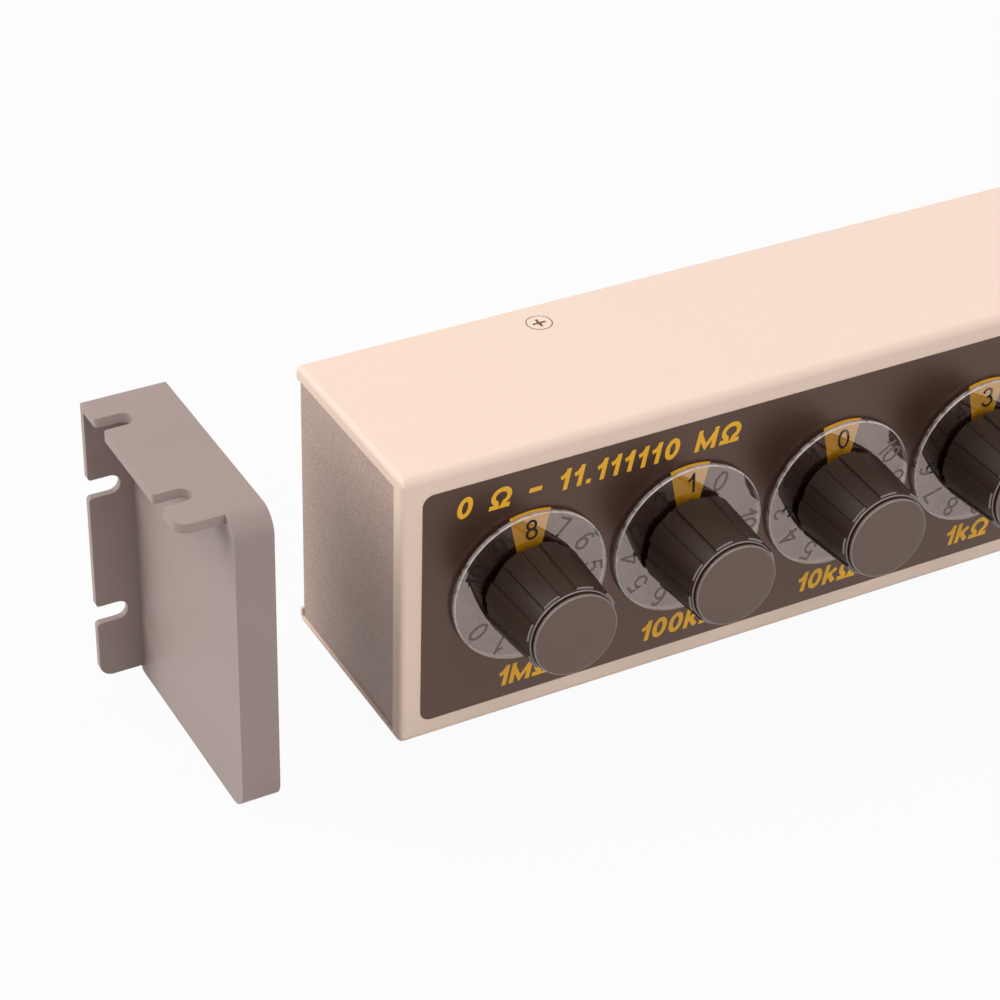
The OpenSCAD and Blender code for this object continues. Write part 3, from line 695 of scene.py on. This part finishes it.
class BOX_OT_end_caps(bpy.types.Operator):
    """End caps with softened edges and moulded grain"""

    bl_idname = "decade_box.end_caps"
    bl_label = "End caps"

    def execute(self, context):
        finish = moulding_finish("cap_moulding", colours().cap, rough=0.5, spark=0.25, shine=0.25)
        for node in ("left_end_cap", "right_end_cap"):
            soften(node, sizes().cap_edge, finish, segments=4)
        return {"FINISHED"}


class BOX_OT_label(bpy.types.Operator):
    """Film on the front with its heading, range marks and yellow windows"""

    bl_idname = "decade_box.label"
    bl_label = "Label"

    def execute(self, context):
        s = sizes()
        dress("front_label", label_finish())
        yellow = ink_finish("yellow_ink", colours().yellow, rough=0.4)
        corner = (SHELL_LO.x, SHELL_LO.z)
        rise = LABEL_OUT + s.ink
        bold, lean = 0.21, 0.2
        flat, lift, faces = lettering("0 Ω – 11.111110 MΩ", s.title_height, bold, lean, gap=0.22)
        lines = [(on_front(corner, flat[:, 0] + s.title_x, flat[:, 1] + s.title_z, rise + lift), faces)]
        for i in DECADES:
            flat, lift, faces = lettering(self.range_mark(i), s.range_height, bold, lean)
            x = dial_centre(i)[0] - corner[0] - np.ptp(flat[:, 0]) / 2
            lines.append((on_front(corner, flat[:, 0] + x, flat[:, 1] + s.range_z, rise + lift), faces))
        inked("label_print", lines, yellow, "front_label")
        inked("label_windows", [self.window(i, rise) for i in DECADES], yellow, "front_label")
        return {"FINISHED"}

    @staticmethod
    def range_mark(i):
        """Value of one step of a decade, from the top of the row downwards."""
        power = len(TURNS) - i
        unit = ("", "k", "M")[power // 3]
        return str(10 ** (power % 3)) + unit + "Ω"

    @staticmethod
    def window(i, rise):
        """Tapered window behind a dial's top: at share t up its height its half width is
        foot + (head - foot) t, and its top follows an arc just beyond the dial."""
        s = sizes()
        foot, head, low = s.window_foot, s.window_head, s.window_low
        top = half_width(f"figure_dial_{i}") + s.window_top
        side, t = np.meshgrid(np.linspace(-1, 1, 25), np.linspace(0, 1, 9))
        u = side * (foot + (head - foot) * t)
        v = low + t * (np.sqrt(top ** 2 - u ** 2) - low)
        return on_front(dial_centre(i), u, v, rise).reshape(-1, 3), sheet_faces(*u.shape)


class BOX_OT_dials(bpy.types.Operator):
    """Clear dials with painted highlights on their edges and black figures behind their faces"""

    bl_idname = "decade_box.dials"
    bl_label = "Figure dials"

    def execute(self, context):
        s = sizes()
        # The wall and chamfer finishes paint a pale highlight on each dial's cut edge.
        finishes = (clear_finish("dial_acrylic", plain=0.2, gloss=0.03),
                    wall_finish("dial_wall", least=0.3, most=0.9, rough=0.3),
                    wall_finish("dial_edge", least=0.7, most=1.0, rough=0.15),
                    clear_finish("dial_back", plain=0.01, gloss=0.03))
        ink = figure_finish()
        shapes = [lettering(str(k), s.figure_height) for k in range(FIGURES)]
        sides = 160
        for i in DECADES:
            node = f"figure_dial_{i}"
            back, front = reach(node)
            outer, bore, cut, soft = half_width(node), s.dial_bore, s.dial_edge, 0.06 * MM
            profile = rounded([(bore, back, 0), (outer - cut, back, soft), (outer, back + cut, soft),
                               (outer, front - cut, soft), (outer - cut, front, soft), (bore, front, 0)], 3)
            points, quads = lathe(dial_centre(i), profile, turn(sides)), grid_faces(len(profile), sides, True)
            dial = add_piece(f"dial_{i}", points, quads, finishes[0], node, sharp=20)
            for finish in finishes[1:]:
                dial.data.materials.append(finish)
            r, w = spread(dial.data, dial_centre(i))
            wall = r > outer - cut
            chamfer = np.abs(w - (back + front) / 2) > (front - back) / 2 - cut
            behind = ~wall & (w < front - cut)
            set_finishes(dial, wall * (1 + chamfer) + 3 * behind)
            dial.visible_shadow = False
            lines = []
            for k, (flat, lift, faces) in enumerate(shapes):
                a = (k - setting(i)) * STEP + DIAL_SLACK
                u = flat[:, 0] - np.ptp(flat[:, 0]) / 2
                v = flat[:, 1] - s.figure_height / 2 + s.figure_radius
                lines.append((on_front(dial_centre(i), u * math.cos(a) - v * math.sin(a),
                                       u * math.sin(a) + v * math.cos(a), front + s.ink + lift), faces))
            inked(f"dial_figures_{i}", lines, ink, node).visible_shadow = False
        return {"FINISHED"}


class BOX_OT_knobs(bpy.types.Operator):
    """Ribbed knobs and their satin faces"""

    bl_idname = "decade_box.knobs"
    bl_label = "Knobs"

    def execute(self, context):
        moulding = moulding_finish("knob_moulding", colours().knob, rough=0.42, spark=0.2, shine=0.22)
        # Painted highlight finish, for the edges where lamps would glint.
        highlight_paint = moulding_finish("knob_polish", colours().knob_edge, rough=0.25, spark=0.2)
        satin = face_finish()
        for i in DECADES:
            self.knob(i, moulding, highlight_paint)
            self.face(i, satin, moulding, highlight_paint)
        return {"FINISHED"}

    def knob(self, i, moulding, highlight_paint):
        """Tapered barrel on a neck. Its radius grows by the rib height on each rib and dips in a fine line at
        the rib's foot: r(w) + (height * across(a) - foot * bell(a)) * along(w), with soft steps across and
        along."""
        s = sizes()
        node = f"knob_{i}"
        back, front = reach(node)
        base, tip, seat = s.knob_base, s.knob_tip, s.knob_seat
        ribs, share = 8, math.radians(22.5)
        phase = math.pi / 2 - setting(i) * STEP
        end, edge, lip, soft = front - s.rib_band, s.rib_edge, 0.3 * MM, 0.22 * MM
        skirt, floor = back + s.knob_gap, front - 2 * MM
        heights = np.concatenate([np.linspace(skirt, end - edge, 14)[:-1],
                                  np.linspace(end - edge, end + edge, 17), [front - lip]])
        wall = np.stack([base + (tip - base) * (heights - skirt) / (front - skirt), heights], -1)
        rim = rounded([(tip, front - lip, 0), (tip, front, soft), (seat, front, 0.1 * MM), (seat, floor, 0)],
                      6)[1:]
        hollow = [(s.dial_bore, floor), (s.dial_bore, back), (s.knob_neck, back), (s.knob_neck, skirt)]
        profile = np.concatenate([wall, rim, hollow])
        step = np.linspace(-1, 1, 21) * 2.8 * edge / base * ribs / (2 * math.pi)
        local = np.concatenate([[-0.5, -0.44, -0.38, -0.32], -0.25 + step, np.linspace(-0.2, 0.2, 9),
                                0.25 + step, [0.32, 0.38, 0.44]]) * 2 * math.pi / ribs
        angles = (np.arange(ribs)[:, None] * 2 * math.pi / ribs + local[None, :]).ravel() + phase

        def sunk(a, w):
            off = np.abs((a - phase + math.pi / ribs) % (2 * math.pi / ribs) - math.pi / ribs)
            inside = (share / 2 - off) * base
            bell = np.exp(-((inside + edge) / (0.6 * edge)) ** 2)
            return (s.rib_foot * bell - s.rib_height * soft_step(inside, edge)) * soft_step(end - w, edge)

        outside = np.arange(len(profile)) < len(heights)
        points = lathe(dial_centre(i), profile, angles, lambda a, w: sunk(a, w) * outside[:, None])
        quads = grid_faces(len(profile), len(angles), True)
        knob = add_piece(f"ribbed_knob_{i}", points, quads, moulding, node, sharp=50)
        knob.data.materials.append(highlight_paint)
        r, w = spread(knob.data, dial_centre(i))
        # Painted highlight on the lip's rounded corner and on the rib ends.
        corner = (w > front - soft) & (r > tip - soft)
        rib_ends = (abs(w - end) < edge / 2) & (r > tip + 0.1 * MM)
        set_finishes(knob, corner | rib_ends)

    def face(self, i, satin, moulding, highlight_paint):
        """Disc on a neck: the revolved outline of the groove, the rounded rim and the flat satin face."""
        node = f"knob_cap_{i}"
        back, front = reach(node)
        outer, neck = half_width(node), half_width(node) - 0.4 * MM
        rim, soft = front - sizes().face_depth, sizes().face_edge
        profile = np.concatenate([[(0, back)], rounded([
            (neck, back, 0), (neck, rim, 0.05 * MM), (outer, rim, 0.15 * MM), (outer, front, soft),
            (outer - 1.5 * MM, front, 0)], 6), [(outer * 0.4, front), (0, front)]])
        sides, tiny = 128, 1e-6
        points, quads = lathe(dial_centre(i), profile, turn(sides)), grid_faces(len(profile), sides, False)
        disc = add_piece(f"knob_face_{i}", points, quads, satin, node, sharp=50)
        disc.data.materials.append(moulding)
        disc.data.materials.append(highlight_paint)
        r, w = spread(disc.data, dial_centre(i))
        behind = (w < rim + tiny) | (r < neck + tiny) & (w < front - tiny)
        # Painted highlight on the rounded edge of the face disc.
        corner = (w > front - soft) & (w < front - tiny) & (r > outer - soft)
        set_finishes(disc, behind + 2 * corner)
        co = np.empty(len(disc.data.vertices) * 3)
        disc.data.vertices.foreach_get("co", co)
        x, _, z = co.reshape(-1, 3).T
        far = np.hypot(x - dial_centre(i)[0], z - dial_centre(i)[1])
        disc.data.attributes.new("radius", "FLOAT", "POINT").data.foreach_set("value", far.astype(np.float32))


class BOX_OT_terminals(bpy.types.Operator):
    """Binding posts: grooved thumb nuts, round bases and plated posts"""

    bl_idname = "decade_box.terminals"
    bl_label = "Terminals"
    # Radius of the hole round a post, in the nuts and in the bases.
    BORE = 3.08 * MM

    def execute(self, context):
        red = moulding_finish("red_moulding", colours().red, rough=0.3, spark=0.2)
        black = moulding_finish("black_moulding", colours().knob, rough=0.3, spark=0.2)
        for name, finish in (("red", red), ("black", black)):
            self.nut(f"{name}_thumb_nut", finish)
            self.base(f"{name}_base", finish)
        plating = metal_finish("post_plating", (0.66, 0.61, 0.54), rough=0.18)
        soften("terminal_posts", sizes().metal_edge, plating)
        return {"FINISHED"}

    @staticmethod
    def centre(node):
        """Middle of a node across the front."""
        lo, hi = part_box(node)
        return (lo.x + hi.x) / 2, (lo.z + hi.z) / 2

    def nut(self, node, finish):
        """Grip barrel whose radius dips by a rounded wave eighteen times round, between two bands."""
        back, front = reach(node)
        outer, bore = half_width(node), self.BORE
        grips, band, edge = 18, 2 * MM, 0.5 * MM
        heights = np.concatenate([np.linspace(back + band - edge, back + band + edge, 6),
                                  np.linspace(front - band - edge, front - band + edge, 6)])
        wall = np.stack([np.full_like(heights, outer), heights], -1)
        ends = rounded([(bore, back, 0.1 * MM), (outer, back, 0.3 * MM), (outer, back + 1 * MM, 0)], 4)[:-1]
        mouth = rounded([(outer, front - 1 * MM, 0), (outer, front, 0.6 * MM), (bore, front, 0.3 * MM),
                         (bore, front - 1 * MM, 0)], 5)[1:-1]
        profile = np.concatenate([ends, wall, mouth])

        def grip(a, w):
            wave = np.clip(np.cos(grips * a), 0, 1) ** 0.6
            inside = soft_step(w - back - band, 0.6 * MM) * soft_step(front - band - w, 0.6 * MM)
            return 0.55 * MM * wave * inside

        sides = grips * 16
        points = lathe(self.centre(node), profile, turn(sides), grip)
        quads = grid_faces(len(profile), sides, True)
        add_piece(node + "_grip", points, quads, finish, node, sharp=50)

    def base(self, node, finish):
        """Round foot of a terminal: a revolved outline with a softly rounded shoulder."""
        back, front = reach(node)
        outer, bore, neck, sides = half_width(node), self.BORE, 4.1 * MM, 96
        profile = rounded([(bore, back, 0), (neck, back, 0), (neck, LABEL_OUT, 0),
                           (outer, LABEL_OUT, 0.1 * MM), (outer, front, 0.8 * MM), (bore, front, 0)], 6)
        points, quads = lathe(self.centre(node), profile, turn(sides)), grid_faces(len(profile), sides, True)
        add_piece(node + "_foot", points, quads, finish, node, sharp=50)


class BOX_OT_inside(bpy.types.Operator):
    """Finishes of the parts inside the case and under the knobs"""

    bl_idname = "decade_box.inside"
    bl_label = "Inside parts"

    def execute(self, context):
        steel = metal_finish("nut_steel", (0.56, 0.56, 0.55), 0.3)
        brass = metal_finish("tag_brass", (0.62, 0.42, 0.14), 0.28)
        switch = moulding_finish("switch_moulding", (0.03, 0.03, 0.032), 0.45, 0.3)
        inner = {
            "circuit_board": board_finish(),
            "resistors": moulding_finish("resistor_coat", (0.18, 0.34, 0.52), 0.35, 0.2),
            "terminal_washers": moulding_finish("fibre", (0.55, 0.48, 0.36), 0.7, 0.4),
            "terminal_wires": moulding_finish("wire_sleeve", (0.35, 0.03, 0.02), 0.45, 0.3),
            "solder_tags": brass, "terminal_nuts": brass,
            "press_nuts": steel, "switch_washers": steel, "switch_nuts": steel,
        }
        for i in DECADES:
            inner[f"switch_shaft_{i}"] = steel
            inner[f"switch_body_{i}"] = switch
        for node, finish in inner.items():
            dress(node, finish)
        return {"FINISHED"}


class BOX_OT_stage(bpy.types.Operator):
    """Pale floor, soft lamps, white surroundings and the camera"""

    bl_idname = "decade_box.stage"
    bl_label = "Stage"

    def execute(self, context):
        scene = context.scene
        scene.view_settings.view_transform = "Standard"
        self.floor()
        self.surroundings(scene)
        self.lamp("left_lamp", (-1.05, 0.5, 0.82), (-0.14, 0.0, 0.035), 1.0, 17.2)
        self.lamp("front_lamp", (0.2, -1.12, 0.8), (0.0, 0.0, 0.03), 1.0, 9.5)
        self.lamp("right_lamp", (1.0, 0.6, 0.7), (0.05, 0.0, 0.03), 0.8, 3.0)
        self.camera(scene)
        return {"FINISHED"}

    @staticmethod
    def floor():
        """Wide flat floor under the feet: almost white where it is seen, with a faint shadow."""
        x, y = np.meshgrid(np.linspace(-3, 3, 13), np.linspace(-3, 3, 13))
        points = np.stack([x, y, np.zeros_like(x)], -1).reshape(-1, 3)
        mesh = bpy.data.meshes.new("floor")
        mesh.from_pydata(points.tolist(), [], sheet_faces(*x.shape).tolist())
        f = Finish("floor_paper")
        paper = f.surface(Base_Color=f.shades(colours().paper, 0.01, f.noise(40.0)), Roughness=0.9)
        glow = f.add("Emission", {}, {"Color": (1.0, 1.0, 1.0), "Strength": 1.0})
        white_share = 0.95
        mesh.materials.append(f.done(f.add("MixShader", {}, {0: f.seen() * white_share, 1: paper, 2: glow})))
        floor = bpy.data.objects.new("floor", mesh)
        bpy.context.scene.collection.objects.link(floor)

    @staticmethod
    def surroundings(scene):
        """Even soft light from all round, white where the camera or a mirror sees it."""
        scene.world = bpy.data.worlds.new("surroundings")
        scene.world.use_nodes = True
        nodes = Nodes(scene.world.node_tree)
        soft = nodes.add("Background", {}, {"Color": (1.0, 0.985, 0.97), "Strength": 0.4})
        white = nodes.add("Background", {}, {"Color": (1.0, 1.0, 1.0), "Strength": 1.0})
        mixed = nodes.add("MixShader", {}, {0: nodes.seen(), 1: soft, 2: white})
        nodes.add("OutputWorld", {}, {"Surface": mixed})

    @staticmethod
    def lamp(name, place, aim, size, power):
        """One square area lamp that looks at a point."""
        light = bpy.data.lights.new(name, "AREA")
        light.size, light.energy, light.color = size, power, (1.0, 0.98, 0.96)
        lamp = bpy.data.objects.new(name, light)
        lamp.location = place
        lamp.rotation_euler = (Vector(aim) - Vector(place)).to_track_quat("-Z", "Y").to_euler()
        bpy.context.scene.collection.objects.link(lamp)

    @staticmethod
    def camera(scene):
        """Camera at the fitted place: turned, raised and rolled about the shell's lower left front corner."""
        turned, raised, rolled = math.radians(-29.39), math.radians(34.41), math.radians(1.77)
        focal, away, pixel = 2841.0, 595.14 * MM, (400.37, 746.06)
        level = math.cos(raised)
        back = Vector((math.sin(turned) * level, -math.cos(turned) * level, math.sin(raised)))
        right = Vector((0, 0, 1)).cross(back).normalized()
        up = back.cross(right)
        right, up = (right * math.cos(rolled) + up * math.sin(rolled),
                     up * math.cos(rolled) - right * math.sin(rolled))
        place = (SHELL_LO + back * away - right * ((pixel[0] - 500) * away / focal)
                 + up * ((pixel[1] - 500) * away / focal))
        data = bpy.data.cameras.new("camera")
        data.sensor_width = 36.0
        data.lens = 36.0 * focal / 1000
        data.clip_start, data.clip_end = 0.01, 20.0
        camera = bpy.data.objects.new("camera", data)
        camera.matrix_world = Matrix.Translation(place) @ Matrix((right, up, back)).transposed().to_4x4()
        scene.collection.objects.link(camera)
        scene.camera = camera


class BOX_PT_panel(bpy.types.Panel):
    """Sidebar list of the box's pieces and settings"""

    bl_idname = "BOX_PT_panel"
    bl_label = "Decade Box"
    bl_space_type = "VIEW_3D"
    bl_region_type = "UI"
    bl_category = "Decade Box"

    def draw(self, context):
        for operator in OPERATORS:
            self.layout.operator(operator.bl_idname)
        for group in (context.scene.box_sizes, context.scene.box_colours):
            for name in group.__annotations__:
                self.layout.prop(group, name)


OPERATORS = (BOX_OT_sheet_metal, BOX_OT_end_caps, BOX_OT_label, BOX_OT_dials, BOX_OT_knobs, BOX_OT_terminals,
             BOX_OT_inside, BOX_OT_stage)
CLASSES = (BoxSizes, BoxColours, *OPERATORS, BOX_PT_panel)


def register():
    for cls in CLASSES:
        bpy.utils.register_class(cls)
    bpy.types.Scene.box_sizes = bpy.props.PointerProperty(type=BoxSizes)
    bpy.types.Scene.box_colours = bpy.props.PointerProperty(type=BoxColours)


def unregister():
    del bpy.types.Scene.box_colours
    del bpy.types.Scene.box_sizes
    for cls in reversed(CLASSES):
        bpy.utils.unregister_class(cls)


def main():
    """Registers the add-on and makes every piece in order."""
    register()
    bpy.ops.decade_box.sheet_metal()
    bpy.ops.decade_box.end_caps()
    bpy.ops.decade_box.label()
    bpy.ops.decade_box.dials()
    bpy.ops.decade_box.knobs()
    bpy.ops.decade_box.terminals()
    bpy.ops.decade_box.inside()
    bpy.ops.decade_box.stage()


if __name__ == "__main__":
    main()
